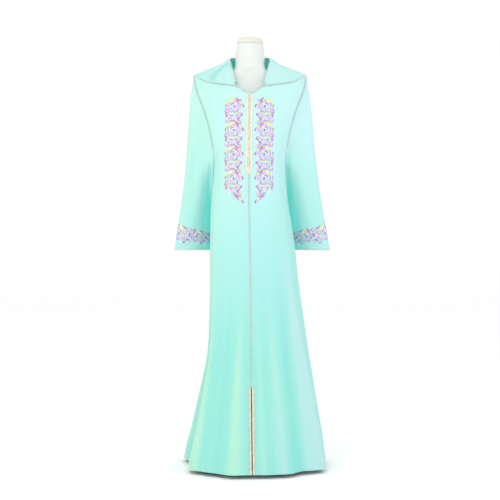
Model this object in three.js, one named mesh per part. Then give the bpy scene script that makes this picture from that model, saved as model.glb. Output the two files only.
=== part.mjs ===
// A woman's djellaba worn by a limbless dress form that stands on a round plate. Millimetres, +Z up.
// The origin is the middle of the plate's underside. The robe faces -Y, and the wearer's left is +X.
import * as THREE from "three";

// ---- Driving dimensions ----------------------------------------------------------------------------
const CLOTH = 2; // wall of every cloth piece
const SEAM_GAP = 0.3; // between two pieces that are sewn together
const SIDE_SEAM_ANGLE = 0.15; // half the side seam's gap, as an angle round the body
const ARMHOLE_SEAM_SHARE = 0.0016; // the armhole seam's gap, as a share of the sleeve's length
const HOOD_SEAM_ANGLE = 0.3; // the hood's middle seam's gap, as an angle round the neck
const HEM = 15; // height of the hem over the floor
const UNDERARM = 1108; // height where sleeve, front and back meet under the arm
const SHOULDER = 1404; // height of the shoulder point
const SHOULDER_X = 199; // how far the shoulder point is from the middle
const PLACKET_END = 1047; // lowest point of the knotted placket
const SLIT_TOP = 309; // top of the open slit over the hem
const SLIT_GAP = 3; // between the two fronts along the slit
const CUFF = 782; // height of the sleeve's open end
const NECK_Y = 20; // the neck stands this far behind the middle

const PALETTE = {
  crepe: { color: 0x9fe8e0, roughness: 0.7, metalness: 0 },
  braid: { color: 0xdcd3b8, roughness: 0.5, metalness: 0 },
  piping: { color: 0xb9b3b4, roughness: 0.55, metalness: 0 },
  form: { color: 0xf2f4ee, roughness: 0.45, metalness: 0 },
  steel: { color: 0xc8cacc, roughness: 0.35, metalness: 0.8 },
};

// ---- Tables ------------------------------------------------------------------------------------------
// The robe's outline at each height: how far it reaches to the wearer's right and left, to the front and
// to the back, and the power of its rounded outline (2 is an ellipse, more is squarer).
const BODY = [
  { z: 15, right: 236, left: 270, front: 221, back: 214, power: 2.15 },
  { z: 60, right: 229, left: 265, front: 215, back: 209, power: 2.15 },
  { z: 130, right: 212, left: 256, front: 206, back: 200, power: 2.15 },
  { z: 238, right: 190, left: 238, front: 191, back: 186, power: 2.15 },
  { z: 346, right: 168, left: 221, front: 177, back: 172, power: 2.15 },
  { z: 418, right: 156, left: 209, front: 168, back: 163, power: 2.15 },
  { z: 490, right: 149, left: 199, front: 159, back: 155, power: 2.15 },
  { z: 598, right: 145, left: 184, front: 146, back: 144, power: 2.15 },
  { z: 706, right: 144, left: 170, front: 134, back: 134, power: 2.15 },
  { z: 778, right: 144, left: 163, front: 127, back: 127, power: 2.2 },
  { z: 850, right: 143, left: 153, front: 120, back: 119, power: 2.2 },
  { z: 922, right: 141, left: 141, front: 114, back: 109, power: 2.2 },
  { z: 994, right: 136, left: 132, front: 111, back: 100, power: 2.2 },
  { z: 1060, right: 129, left: 128, front: 112, back: 96, power: 2.25 },
  { z: 1108, right: 130, left: 130, front: 116, back: 97, power: 2.3 },
  { z: 1141, right: 139, left: 139, front: 119, back: 99, power: 2.3 },
  { z: 1215, right: 159, left: 159, front: 115, back: 102, power: 2.3 },
  { z: 1286, right: 181, left: 181, front: 101, back: 101, power: 2.3 },
  { z: 1329, right: 191, left: 191, front: 87, back: 96, power: 2.3 },
  { z: 1361, right: 196, left: 196, front: 74, back: 89, power: 2.3 },
  { z: 1404, right: 199, left: 199, front: 52, back: 72, power: 2.3 },
];

// Hanging folds of the skirt. The angle runs round from the front middle, positive to the wearer's left.
// Each ridge is as wide as its angle says, rises by so much at the hem and fades out at its top.
const FOLDS = [
  { angle: -57, width: 13, rise: 10, top: 540 },
  { angle: -84, width: 12, rise: -34, top: 520 },
  { angle: -118, width: 15, rise: 30, top: 600 },
  { angle: -14, width: 10, rise: 9, top: 700 },
  { angle: 24, width: 9, rise: 7, top: 640 },
  { angle: 42, width: 9, rise: -7, top: 560 },
  { angle: 62, width: 12, rise: 25, top: 820 },
  { angle: 88, width: 11, rise: -7, top: 600 },
  { angle: 112, width: 14, rise: 16, top: 620 },
  { angle: 146, width: 13, rise: 18, top: 700 },
  { angle: 180, width: 12, rise: 12, top: 640 },
  { angle: -148, width: 13, rise: 17, top: 680 },
];

// Where the front's and back's side edge runs round the outline, from the underarm to the shoulder.
const ARMHOLE = [
  { z: 1108, angle: 90 },
  { z: 1124, angle: 74 },
  { z: 1141, angle: 68 },
  { z: 1215, angle: 63 },
  { z: 1286, angle: 65 },
  { z: 1329, angle: 72 },
  { z: 1361, angle: 79 },
  { z: 1404, angle: 90 },
];

// Height of the front's top edge at each distance from the middle, and of the back's.
const FRONT_NECKLINE = [
  { x: 0, z: 1332 },
  { x: 13, z: 1334 },
  { x: 26, z: 1344 },
  { x: 42, z: 1355 },
  { x: 80, z: 1363 },
  { x: 120, z: 1369 },
  { x: 155, z: 1377 },
  { x: 177, z: 1389 },
  { x: 199, z: 1404 },
];
const BACK_NECKLINE = [
  { x: 0, z: 1378 },
  { x: 80, z: 1381 },
  { x: 150, z: 1387 },
  { x: 185, z: 1395 },
  { x: 199, z: 1404 },
];

// How far the front seam drifts to the wearer's left at each height.
const CENTRE = [
  { z: 15, x: 8 },
  { z: 309, x: 4.5 },
  { z: 700, x: 1.5 },
  { z: 1047, x: -4 },
  { z: 1332, x: -1 },
];

// The hood lies back. Both edges are given by the angle round the neck from the front: the free rim that
// framed the face, with how far its roll reaches out, and the low fold that hangs behind, from the
// shoulder point to the tip, with the share of the drop that hangs straight down.
const HOOD_RIM = [
  { angle: 30, reach: 99, z: 1377, roll: 20 },
  { angle: 45, reach: 81, z: 1406, roll: 16 },
  { angle: 69, reach: 73, z: 1440, roll: 12 },
  { angle: 94, reach: 73, z: 1463, roll: 8 },
  { angle: 130, reach: 80, z: 1475, roll: 14 },
  { angle: 180, reach: 86, z: 1482, roll: 42 },
];
const HOOD_FOLD = [
  { angle: 84.3, reach: 199, z: 1407, hang: 0.2 },
  { angle: 92, reach: 200, z: 1404, hang: 0.2 },
  { angle: 104, reach: 193, z: 1380, hang: 0.3 },
  { angle: 120, reach: 177, z: 1328, hang: 0.5 },
  { angle: 138, reach: 152, z: 1262, hang: 0.6 },
  { angle: 158, reach: 138, z: 1198, hang: 0.6 },
  { angle: 180, reach: 134, z: 1160, hang: 0.6 },
];

// One sleeve's open end: where its long axis runs, from its outer point to its inner point behind the hip.
// The tuck takes the sleeve's inner side in behind the waist, clear of it.
const CUFFS = {
  right: { outer: [-272, 36], inner: [-143, 98], depth: 37, tuck: -5 },
  left: { outer: [287, 32], inner: [152, 98], depth: 37, tuck: 9 },
};

// The dress form: half width, and how far it reaches to the front and back.
const FORM = [
  { z: 832, width: 126, front: 84, back: 96 },
  { z: 900, width: 131, front: 88, back: 101 },
  { z: 980, width: 120, front: 84, back: 88 },
  { z: 1060, width: 106, front: 82, back: 74 },
  { z: 1120, width: 112, front: 92, back: 76 },
  { z: 1180, width: 120, front: 103, back: 82 },
  { z: 1240, width: 130, front: 95, back: 87 },
  { z: 1300, width: 150, front: 78, back: 86 },
  { z: 1345, width: 164, front: 58, back: 78 },
  { z: 1375, width: 150, front: 42, back: 70 },
  { z: 1400, width: 104, front: 33, back: 66 },
  { z: 1418, width: 70, front: 32, back: 70 },
  { z: 1430, width: 57, front: 34, back: 74 },
];
const FORM_POWER = 2.1;

// Half-profiles turned round the neck's axis or the stand's axis, as [radius, height].
const NECK_PROFILE = [
  [0, 1430.5],
  [55, 1430.5],
  [53.5, 1444],
  [52.5, 1470],
  [49.5, 1500],
  [47, 1519],
  [0, 1519],
];
const CAP_PROFILE = [
  [0, 1519.5],
  [46.5, 1519.5],
  [46, 1527],
  [43.5, 1534],
  [39, 1538.5],
  [0, 1541],
];
const POLE_PROFILE = [
  [0, 12.3],
  [12.5, 12.3],
  [12.5, 831.5],
  [0, 831.5],
];
const PLATE_PROFILE = [
  [0, 0],
  [150, 0],
  [150, 7],
  [146, 10],
  [40, 12],
  [0, 12],
];

// ---- Reading the tables ------------------------------------------------------------------------------
// A smooth value of one column of a table, where another column has the value asked for.
function sample(table, key, at, column) {
  const last = table.length - 1;
  let i = 0;
  while (i < last - 1 && at > table[i + 1][key]) i++;
  const slope = (k) => {
    const a = table[Math.max(0, k - 1)];
    const b = table[Math.min(last, k + 1)];
    return (b[column] - a[column]) / (b[key] - a[key]);
  };
  const step = table[i + 1][key] - table[i][key];
  const t = THREE.MathUtils.clamp((at - table[i][key]) / step, 0, 1);
  const [t2, t3] = [t * t, t * t * t];
  return (
    (2 * t3 - 3 * t2 + 1) * table[i][column] +
    (t3 - 2 * t2 + t) * step * slope(i) +
    (3 * t2 - 2 * t3) * table[i + 1][column] +
    (t3 - t2) * step * slope(i + 1)
  );
}

const radians = THREE.MathUtils.degToRad;
const signedPower = (value, power) => Math.sign(value) * Math.abs(value) ** power;

function turnedBy(angle) {
  return ((((angle + 180) % 360) + 360) % 360) - 180;
}

// ---- The robe's main surface -------------------------------------------------------------------------
function foldRise(angle, z) {
  let rise = 0;
  for (const fold of FOLDS) {
    const fade = THREE.MathUtils.clamp((fold.top - z) / (fold.top - HEM), 0, 1) ** 1.3;
    rise += fold.rise * fade * Math.exp(-((turnedBy(angle - fold.angle) / fold.width) ** 2));
  }
  return rise;
}

// The outside of the robe's body at an angle round from the front middle, at a height.
function bodyPoint(angle, z) {
  const sine = Math.sin(radians(angle));
  const cosine = Math.cos(radians(angle));
  const share = 2 / sample(BODY, "z", z, "power");
  const width = sample(BODY, "z", z, sine > 0 ? "left" : "right");
  const depth = sample(BODY, "z", z, cosine > 0 ? "front" : "back");
  const x = width * signedPower(sine, share);
  const y = -depth * signedPower(cosine, share);
  const grown = 1 + foldRise(angle, z) / Math.hypot(x, y);
  return new THREE.Vector3(x * grown, y * grown, z);
}

// The angle where the body's outside has a given small x, near the front middle.
function angleAtFront(x, z) {
  const width = sample(BODY, "z", z, x > 0 ? "left" : "right");
  const share = 2 / sample(BODY, "z", z, "power");
  return THREE.MathUtils.radToDeg(Math.asin(signedPower(x / width, 1 / share)));
}

function sideAngle(z) {
  return z <= UNDERARM ? 90 : sample(ARMHOLE, "z", z, "angle");
}

// ---- Making solids -------------------------------------------------------------------------------------
// Joins closed rings of points into one solid. Without a loop, the first and last rings are closed flat.
function skin(rings, loop = false) {
  const size = rings[0].length;
  const positions = rings.flat().flatMap((p) => [p.x, p.y, p.z]);
  const index = [];
  const quad = (a, b, c, d) => index.push(a, b, c, a, c, d);
  const bands = loop ? rings.length : rings.length - 1;
  for (let r = 0; r < bands; r++) {
    const [low, high] = [r * size, ((r + 1) % rings.length) * size];
    for (let k = 0; k < size; k++) {
      const next = (k + 1) % size;
      quad(low + k, low + next, high + next, high + k);
    }
  }
  if (!loop) {
    const top = (rings.length - 1) * size;
    for (let k = 0; k < size / 2 - 1; k++) {
      const [a, b, c, d] = [k, k + 1, size - 2 - k, size - 1 - k];
      quad(d, c, b, a);
      quad(top + a, top + b, top + c, top + d);
    }
  }
  return facingOut(positions, index);
}

// A geometry whose faces point out, whichever way its rings ran.
function facingOut(positions, index) {
  const corner = (i) => new THREE.Vector3().fromArray(positions, 3 * index[i]);
  let volume = 0;
  for (let i = 0; i < index.length; i += 3) {
    volume += corner(i).dot(corner(i + 1).cross(corner(i + 2)));
  }
  if (volume < 0) index.reverse();
  const geometry = new THREE.BufferGeometry();
  geometry.setAttribute("position", new THREE.Float32BufferAttribute(positions, 3));
  geometry.setIndex(index);
  geometry.computeVertexNormals();
  return geometry;
}

// The direction out of a grid of points at each of them. Rows run upwards and columns go anticlockwise
// seen from above, so that across x up points out. A closed grid joins its last column to its first.
function gridNormals(rows, closed) {
  const wide = rows[0].length;
  const column = (k) => (closed ? (k + wide) % wide : THREE.MathUtils.clamp(k, 0, wide - 1));
  const row = (j) => THREE.MathUtils.clamp(j, 0, rows.length - 1);
  return rows.map((points, j) =>
    points.map((_, k) => {
      const across = points[column(k + 1)].clone().sub(points[column(k - 1)]);
      const up = rows[row(j + 1)][k].clone().sub(rows[row(j - 1)][k]);
      return across.cross(up).normalize();
    }),
  );
}

function movedIn(rows, closed, distance) {
  const normals = gridNormals(rows, closed);
  return rows.map((points, j) =>
    points.map((p, k) => p.clone().addScaledVector(normals[j][k], -distance)),
  );
}

// An open sheet of cloth whose outside is the grid.
function sheetWall(rows) {
  const inside = movedIn(rows, false, CLOTH);
  return skin(rows.map((points, j) => [...points, ...inside[j].toReversed()]));
}

// A tube of cloth whose outside is the grid, open at both ends.
function tubeWall(rows) {
  return skin([...rows, ...movedIn(rows, true, CLOTH).toReversed()], true);
}

// A trim that follows a path lying on cloth. Each path point has its place and the way out of the cloth.
// The section is a list of [across, out] points, anticlockwise seen along the path.
function trim(path, section, closed = false) {
  const count = path.length;
  const place = (k) => path[closed ? (k + count) % count : THREE.MathUtils.clamp(k, 0, count - 1)].at;
  const rings = path.map(({ at, out }, k) => {
    const along = place(k + 1).clone().sub(place(k - 1)).normalize();
    const across = along.clone().cross(out).normalize();
    const away = across.clone().cross(along).normalize();
    return section.map(([side, up]) =>
      at.clone().addScaledVector(across, side).addScaledVector(away, up),
    );
  });
  return skin(rings, closed);
}

function flatSection(width, thickness, lift) {
  const half = width / 2;
  return [
    [-half, lift],
    [half, lift],
    [half * 0.8, lift + thickness],
    [-half * 0.8, lift + thickness],
  ];
}

function roundSection(radius, lift, sides = 6) {
  return Array.from({ length: sides }, (_, k) => {
    const turn = (2 * Math.PI * k) / sides;
    return [radius * Math.cos(turn), lift + radius + radius * Math.sin(turn)];
  });
}

const SEARCH_END = 1e-6;

// The place between two ends where a test stops being true.
function searched(low, high, isBefore) {
  const middle = (low + high) / 2;
  if (high - low < SEARCH_END) return middle;
  return isBefore(middle) ? searched(middle, high, isBefore) : searched(low, middle, isBefore);
}

const steps = (count) => Array.from({ length: count + 1 }, (_, k) => k / count);

// ---- Front and back ------------------------------------------------------------------------------------
const SKIRT_ROWS = 11;
const ARMHOLE_ROWS = 8;
const NECKLINE_ROUNDS = 12; // enough to bring a panel's top edge within 0.1 mm of its neckline
const FRONT_COLUMNS = 13;
const BACK_COLUMNS = 24;
const ARMHOLE_SHARE = (UNDERARM - HEM) / (SHOULDER - HEM);
const ROW_SHARES = [
  ...steps(SKIRT_ROWS).map((t) => t * ARMHOLE_SHARE),
  ...steps(ARMHOLE_ROWS)
    .slice(1)
    .map((t) => ARMHOLE_SHARE + t * (1 - ARMHOLE_SHARE)),
];

// A point of a panel whose columns run from a start angle to an end angle at each height, and whose top
// edge follows a neckline. The neckline is looked up at the x that the point itself gets.
function panelPoint(share, rowShare, startAngle, endAngle, neckline) {
  const at = (z) => bodyPoint(THREE.MathUtils.lerp(startAngle(z), endAngle(z), share), z);
  return at(THREE.MathUtils.lerp(HEM, topOfPanel(at, neckline), rowShare));
}

// The height at which a column of points meets a neckline.
function topOfPanel(at, neckline) {
  let top = SHOULDER;
  for (let round = 0; round < NECKLINE_ROUNDS; round++) {
    top = (top + sample(neckline, "x", Math.abs(at(top).x), "z")) / 2;
  }
  return top;
}

// One front, from the middle seam to the side seam and armhole. The side is 1 for the wearer's left.
function frontRows(side) {
  const halfGap = (z) => (z < SLIT_TOP ? SLIT_GAP : SEAM_GAP) / 2;
  const middle = (z) => angleAtFront(sample(CENTRE, "z", z, "x") + side * halfGap(z), z);
  const edge = (z) => side * (sideAngle(z) - SIDE_SEAM_ANGLE);
  const rows = ROW_SHARES.map((t) =>
    steps(FRONT_COLUMNS).map((s) => panelPoint(s, t, middle, edge, FRONT_NECKLINE)),
  );
  return side > 0 ? rows : rows.map((row) => row.toReversed());
}

function backRows() {
  const start = (z) => 180 - sideAngle(z) + SIDE_SEAM_ANGLE;
  const end = (z) => 180 + sideAngle(z) - SIDE_SEAM_ANGLE;
  return ROW_SHARES.map((t) =>
    steps(BACK_COLUMNS).map((s) => panelPoint(s, t, start, end, BACK_NECKLINE)),
  );
}

// ---- Sleeves -------------------------------------------------------------------------------------------
const SLEEVE_ROWS = 9;
const CAP_SWELL = 95; // how much the sleeve swells out under the shoulder point
const HANG_IN = 8; // how far the middle of the sleeve hangs in from a straight line
const HIP_PASS = 34; // how far back the sleeve's inner side passes behind the waist

// The armhole's edge from the shoulder down the front to the underarm and up the back again.
function armholeLoop(side) {
  const heights = ROW_SHARES.slice(SKIRT_ROWS).map((t) => HEM + (SHOULDER - HEM) * t);
  const front = heights.map((z) => bodyPoint(side * sideAngle(z), z));
  const back = heights.map((z) => bodyPoint(side * (180 - sideAngle(z)), z));
  return [...front.toReversed(), ...back.slice(1, -1)];
}

function cuffLoop(side, count) {
  const cuff = side > 0 ? CUFFS.left : CUFFS.right;
  const outer = new THREE.Vector3(...cuff.outer, CUFF);
  const inner = new THREE.Vector3(...cuff.inner, CUFF);
  const middle = outer.clone().lerp(inner, 0.5);
  const axis = inner.clone().sub(outer).multiplyScalar(0.5);
  const ahead = new THREE.Vector3(axis.y, -axis.x, 0).normalize().multiplyScalar(-side * cuff.depth);
  return Array.from({ length: count }, (_, k) => {
    const turn = (2 * Math.PI * k) / count;
    return middle
      .clone()
      .addScaledVector(axis, -Math.cos(turn))
      .addScaledVector(ahead, Math.sin(turn));
  });
}

function sleevePoint(side, start, end, turn, share) {
  const tuck = (side > 0 ? CUFFS.left : CUFFS.right).tuck;
  const point = start.clone().lerp(end, share);
  const outer = (1 + Math.cos(turn)) / 2;
  const inner = 1 - outer;
  const hang = Math.sin(Math.PI * share);
  const swell = CAP_SWELL * share * (1 - share) ** 4;
  point.x += side * (swell * outer - HANG_IN * hang * outer - tuck * hang * hang * inner);
  point.y += HIP_PASS * hang * inner;
  return point;
}

function sleeveRows(side) {
  const starts = armholeLoop(side);
  const ends = cuffLoop(side, starts.length);
  const rows = steps(SLEEVE_ROWS).map((t) => {
    const share = 1 - t * (1 - ARMHOLE_SEAM_SHARE);
    return starts.map((start, k) => {
      const turn = (2 * Math.PI * k) / starts.length;
      return sleevePoint(side, start, ends[k], turn, share);
    });
  });
  return side > 0 ? rows.map((row) => row.toReversed()) : rows;
}

// ---- Hood ----------------------------------------------------------------------------------------------
const HOOD_COLUMNS = 14;
const HOOD_ROWS = 7;
const HOOD_CORNER = HOOD_RIM[0].angle;
const HOOD_TIP_ANGLE = HOOD_FOLD[0].angle;
const HOOD_SEAM_LIFT = 2.7; // between the hood's lower edge and the edge of the front or back
const HOOD_SWELL = 3; // how far the hood stands up from a straight line between its edges
const LOW_EDGE_LEAN = 0.25; // how soon the hood's front turns in from its sewn edge
const RIM_DROOP = 0.6; // how far the rim's roll droops in front, as a share of its reach
const FLAT_UNTIL = 84; // angles round the neck where the flat front goes over into the hanging back
const LEAN_ENDS = 110;
const DROOP_ENDS = 140;

function aroundNeck(side, angle, reach, z) {
  const turn = radians(angle);
  return new THREE.Vector3(side * reach * Math.sin(turn), NECK_Y - reach * Math.cos(turn), z);
}

// The point of the front's top edge that lies in a direction round the neck.
function frontSeamAt(side, angle) {
  const at = (x) => {
    const z = sample(FRONT_NECKLINE, "x", x, "z");
    return bodyPoint(angleAtFront(side * Math.min(x, sample(BODY, "z", z, "left")), z), z);
  };
  const found = at(searched(0, SHOULDER_X, (x) => directionRoundNeck(side, at(x)) < angle));
  found.z += HOOD_SEAM_LIFT;
  return found;
}

// The angle round the neck, from the front, at which a point lies.
function directionRoundNeck(side, point) {
  return THREE.MathUtils.radToDeg(Math.atan2(side * point.x, NECK_Y - point.y));
}

// A point of the hood's rim or fold, at an angle round the neck, moved in towards the neck if asked.
function hoodEdgeAt(table, side, angle, inset = 0) {
  const reach = sample(table, "angle", angle, "reach") - inset;
  return aroundNeck(side, angle, reach, sample(table, "angle", angle, "z"));
}

// The level direction away from the neck.
function awayFromNeck(side, angle) {
  return aroundNeck(side, angle, 1, 0).sub(new THREE.Vector3(0, NECK_Y, 0));
}

// The hood's outer layer from its lower edge (share 0) to its rim (share 1): a curve whose two inner
// control points are near the rim and near the lower edge. It lies flatter in front of the shoulder.
function hoodPoint(side, angle, share) {
  const rim = hoodEdgeAt(HOOD_RIM, side, angle);
  const behind = angle > HOOD_TIP_ANGLE;
  const low = behind ? hoodEdgeAt(HOOD_FOLD, side, angle) : frontSeamAt(side, angle);
  const hang = sample(HOOD_FOLD, "angle", Math.max(angle, HOOD_TIP_ANGLE), "hang");
  const roll = sample(HOOD_RIM, "angle", angle, "roll");
  const nearRim = rim.clone().addScaledVector(awayFromNeck(side, angle), roll);
  const lean = LOW_EDGE_LEAN * (1 - THREE.MathUtils.smoothstep(angle, FLAT_UNTIL, LEAN_ENDS));
  const nearLow = low.clone().lerp(rim, lean);
  const droop = RIM_DROOP * (1 - THREE.MathUtils.smoothstep(angle, FLAT_UNTIL, DROOP_ENDS));
  nearRim.z += HOOD_SWELL - droop * roll;
  nearLow.z = Math.max(nearLow.z, low.z + hang * (rim.z - low.z)) + HOOD_SWELL;
  return new THREE.CubicBezierCurve3(low, nearLow, nearRim, rim).getPoint(share);
}

function hoodRows(side) {
  const last = 180 - HOOD_SEAM_ANGLE;
  const rows = steps(HOOD_ROWS).map((share) =>
    steps(HOOD_COLUMNS).map((t) => {
      return hoodPoint(side, THREE.MathUtils.lerp(HOOD_CORNER, last, t), share);
    }),
  );
  return side > 0 ? rows : rows.map((row) => row.toReversed());
}

// The hood's under layer, from its lower edge up to the back's top edge. It closes the pouch.
const UNDER_COLUMNS = 16;
const UNDER_ROWS = 4;
const UNDER_START = 110;
const UNDER_BOW = 18; // how far the under layer bows out over the back
const BOW_STARTS = 95; // angles round the neck between which the bow grows
const BOW_FULL = 140;
const UNDER_RAISED = 2; // its lower edge is this much over the outer layer's
const UNDER_STANDOFF = 3.4; // its sewn edge lies on the back's outside
const UNDER_INSET = 12; // between the two layers at the low fold

function underPoint(angle, share) {
  const side = angle < 180 ? 1 : -1;
  const turned = angle < 180 ? angle : 360 - angle;
  const low = hoodEdgeAt(HOOD_FOLD, side, turned, UNDER_INSET);
  low.z += UNDER_RAISED;
  const high = backSeamAt(side, turned);
  const bow = UNDER_BOW * THREE.MathUtils.smoothstep(turned, BOW_STARTS, BOW_FULL);
  const away = bow * Math.sin(Math.PI * share) + UNDER_STANDOFF * share;
  return low.lerp(high, share).addScaledVector(awayFromNeck(side, turned), away);
}

function backSeamAt(side, angle) {
  const at = (turn) => {
    const onBody = (z) => bodyPoint(side * turn, z);
    return onBody(topOfPanel(onBody, BACK_NECKLINE));
  };
  const found = at(searched(90, 180, (turn) => directionRoundNeck(side, at(turn)) < angle));
  found.z += HOOD_SEAM_LIFT;
  return found;
}

function underRows() {
  return steps(UNDER_ROWS).map((share) =>
    steps(UNDER_COLUMNS).map((t) => {
      return underPoint(THREE.MathUtils.lerp(UNDER_START, 360 - UNDER_START, t), share);
    }),
  );
}

// ---- Trims ---------------------------------------------------------------------------------------------
const LIFT = 0.8; // between a trim and the cloth under it
const BRAID = { width: 7, thickness: 1.6 };
const CENTRE_BRAID = { width: 4, thickness: 1.4 };
const KNOTS = { width: 6, thickness: 3.4, pitch: 7.3 };
const KNOTS_TOP = 1329;
const TIP_LENGTH = 14; // the pointed end of the placket
const TIP_WIDTHS = [20, 11, 3];
const BESIDE_KNOTS = 0.6; // between the column of knots and the braid on either side of it
const PIPING_RADIUS = 1.5;
const ARMHOLE_PIPING_LIFT = 2.4; // these keep each piping clear of both cloths it lies between
const NECK_PIPING_LIFT = 2.2;
const HOOD_PIPING_LIFT = 0.6;
const CUFF_PIPING_LIFT = 0.5;
const NECK_PIPING_ENDS = [12, 192]; // distances from the middle
const NECK_PIPING_LEAN = 0.5; // how far it leans up out of the neck seam

function outOfBody(angle, z) {
  const [left, right] = [bodyPoint(angle + 1, z), bodyPoint(angle - 1, z)];
  const [below, above] = [bodyPoint(angle, z - 4), bodyPoint(angle, z + 4)];
  return left.sub(right).cross(above.sub(below)).normalize();
}

// A path down the front beside the middle seam, at a distance from it that may change with height.
function frontPath(top, bottom, count, beside) {
  return steps(count).map((t) => {
    const z = THREE.MathUtils.lerp(top, bottom, t);
    const angle = angleAtFront(sample(CENTRE, "z", z, "x") + beside(z), z);
    return { at: bodyPoint(angle, z), out: outOfBody(angle, z) };
  });
}

function placketBraid(side) {
  const apart = KNOTS.width / 2 + BRAID.width / 2 + BESIDE_KNOTS;
  return trim(
    frontPath(KNOTS_TOP, PLACKET_END + TIP_LENGTH, 8, () => side * apart),
    flatSection(BRAID.width, BRAID.thickness, LIFT),
  );
}

function placketTip() {
  const path = frontPath(PLACKET_END + TIP_LENGTH - 1, PLACKET_END, TIP_WIDTHS.length - 1, () => 0);
  const sections = TIP_WIDTHS.map((width) => flatSection(width, BRAID.thickness, LIFT));
  return taperedTrim(path.map((point, k) => ({ ...point, section: sections[k] })));
}

// As trim, with a section of its own at each point of the path.
function taperedTrim(path) {
  const place = (k) => path[THREE.MathUtils.clamp(k, 0, path.length - 1)].at;
  return skin(
    path.map(({ at, out, section }, k) => {
      const along = place(k + 1).clone().sub(place(k - 1)).normalize();
      const across = along.clone().cross(out).normalize();
      return section.map(([side, up]) =>
        at.clone().addScaledVector(across, side).addScaledVector(out, up),
      );
    }),
  );
}

// The column of thread knots, swelling at each knot.
function placketKnots() {
  const bottom = PLACKET_END + TIP_LENGTH;
  const count = Math.round((KNOTS_TOP - bottom) / KNOTS.pitch);
  const path = frontPath(KNOTS_TOP, bottom, 2 * count, () => 0);
  const sections = [0.55, 1].map((share) =>
    flatSection(KNOTS.width * share, KNOTS.thickness * share, LIFT),
  );
  return taperedTrim(path.map((point, k) => ({ ...point, section: sections[k % 2] })));
}

function centreBraid() {
  const section = flatSection(CENTRE_BRAID.width, CENTRE_BRAID.thickness, LIFT);
  return trim(frontPath(PLACKET_END - 1, SLIT_TOP + 1, 12, () => 0), section);
}

function slitBraid(side) {
  const beside = () => side * (BRAID.width / 2 + SLIT_GAP / 2);
  const section = flatSection(BRAID.width, BRAID.thickness, LIFT);
  return trim(frontPath(SLIT_TOP, HEM + 1, 7, beside), section);
}

function armholePiping(side) {
  const loop = armholeLoop(side);
  const rows = sleeveRows(side);
  const sleeveOut = gridNormals(rows, true).at(-1);
  const path = loop.map((at, k) => {
    const own = sleeveOut[side > 0 ? loop.length - 1 - k : k];
    const body = new THREE.Vector3(at.x, at.y, 0).normalize();
    return { at, out: body.add(own).normalize() };
  });
  const underarm = loop.length / 2;
  const visible = [...path.slice(underarm + 2), ...path.slice(0, underarm - 1)];
  return trim(visible, roundSection(PIPING_RADIUS, ARMHOLE_PIPING_LIFT));
}

function neckPiping(side) {
  const path = steps(14).map((t) => {
    const x = THREE.MathUtils.lerp(...NECK_PIPING_ENDS, t);
    const z = sample(FRONT_NECKLINE, "x", x, "z");
    const angle = angleAtFront(side * x, z);
    const out = outOfBody(angle, z);
    out.z += NECK_PIPING_LEAN;
    return { at: bodyPoint(angle, z), out };
  });
  return trim(path, roundSection(PIPING_RADIUS, NECK_PIPING_LIFT));
}

function hoodEdge(side) {
  const path = steps(16).map((t) => {
    const angle = THREE.MathUtils.lerp(HOOD_CORNER + 2, 179.6, t);
    const at = hoodEdgeAt(HOOD_RIM, side, angle);
    const out = at.clone().sub(hoodPoint(side, angle, 0.9)).normalize();
    return { at, out };
  });
  return trim(path, roundSection(PIPING_RADIUS, HOOD_PIPING_LIFT));
}

function cuffPiping(side) {
  const down = new THREE.Vector3(0, 0, -1);
  const path = cuffLoop(side, 24).map((at) => ({ at, out: down }));
  return trim(path, roundSection(PIPING_RADIUS, CUFF_PIPING_LIFT), true);
}

// ---- Dress form ----------------------------------------------------------------------------------------
const FORM_COLUMNS = 24;

function formTorso() {
  const rings = FORM.map(({ z, width, front, back }) =>
    Array.from({ length: FORM_COLUMNS }, (_, k) => {
      const turn = (2 * Math.PI * k) / FORM_COLUMNS;
      const [sine, cosine] = [Math.sin(turn), Math.cos(turn)];
      const depth = cosine > 0 ? front : back;
      const share = 2 / FORM_POWER;
      return new THREE.Vector3(width * signedPower(sine, share), -depth * signedPower(cosine, share), z);
    }),
  );
  return skin(rings);
}

function turned(profile, segments) {
  const points = profile.map(([radius, height]) => new THREE.Vector2(radius, height));
  return new THREE.LatheGeometry(points, segments).rotateX(Math.PI / 2);
}

// ---- The scene graph -----------------------------------------------------------------------------------
const djellaba = new THREE.Group();

function add(name, geometry, finish, y = 0) {
  const mesh = new THREE.Mesh(geometry, new THREE.MeshStandardMaterial(PALETTE[finish]));
  mesh.name = name;
  mesh.position.y = y;
  djellaba.add(mesh);
}

for (const [word, side] of [
  ["left", 1],
  ["right", -1],
]) {
  add(`front_${word}`, sheetWall(frontRows(side)), "crepe");
  add(`sleeve_${word}`, tubeWall(sleeveRows(side)), "crepe");
  add(`hood_${word}`, sheetWall(hoodRows(side)), "crepe");
  add(`placket_braid_${word}`, placketBraid(side), "braid");
  add(`slit_braid_${word}`, slitBraid(side), "braid");
  add(`armhole_piping_${word}`, armholePiping(side), "piping");
  add(`neck_piping_${word}`, neckPiping(side), "piping");
  add(`hood_edge_${word}`, hoodEdge(side), "piping");
  add(`cuff_piping_${word}`, cuffPiping(side), "braid");
}
add("back", sheetWall(backRows()), "crepe");
add("hood_under", sheetWall(underRows()), "crepe");
add("placket_knots", placketKnots(), "braid");
add("placket_tip", placketTip(), "braid");
add("centre_braid", centreBraid(), "braid");
add("form_torso", formTorso(), "form");
add("form_neck", turned(NECK_PROFILE, 32), "form", NECK_Y);
add("form_neck_cap", turned(CAP_PROFILE, 32), "form", NECK_Y);
add("stand_pole", turned(POLE_PROFILE, 20), "steel");
add("stand_plate", turned(PLATE_PROFILE, 40), "steel");

export default djellaba;
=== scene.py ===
"""How the djellaba and its dress form look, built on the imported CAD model.

Lengths in the tables and the shape functions are millimetres in the model's own frame: +Z up, the robe
faces -Y, the wearer's left is +X, and 0 is the middle of the stand's underside. Meshes are in metres.
"""

import math

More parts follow.
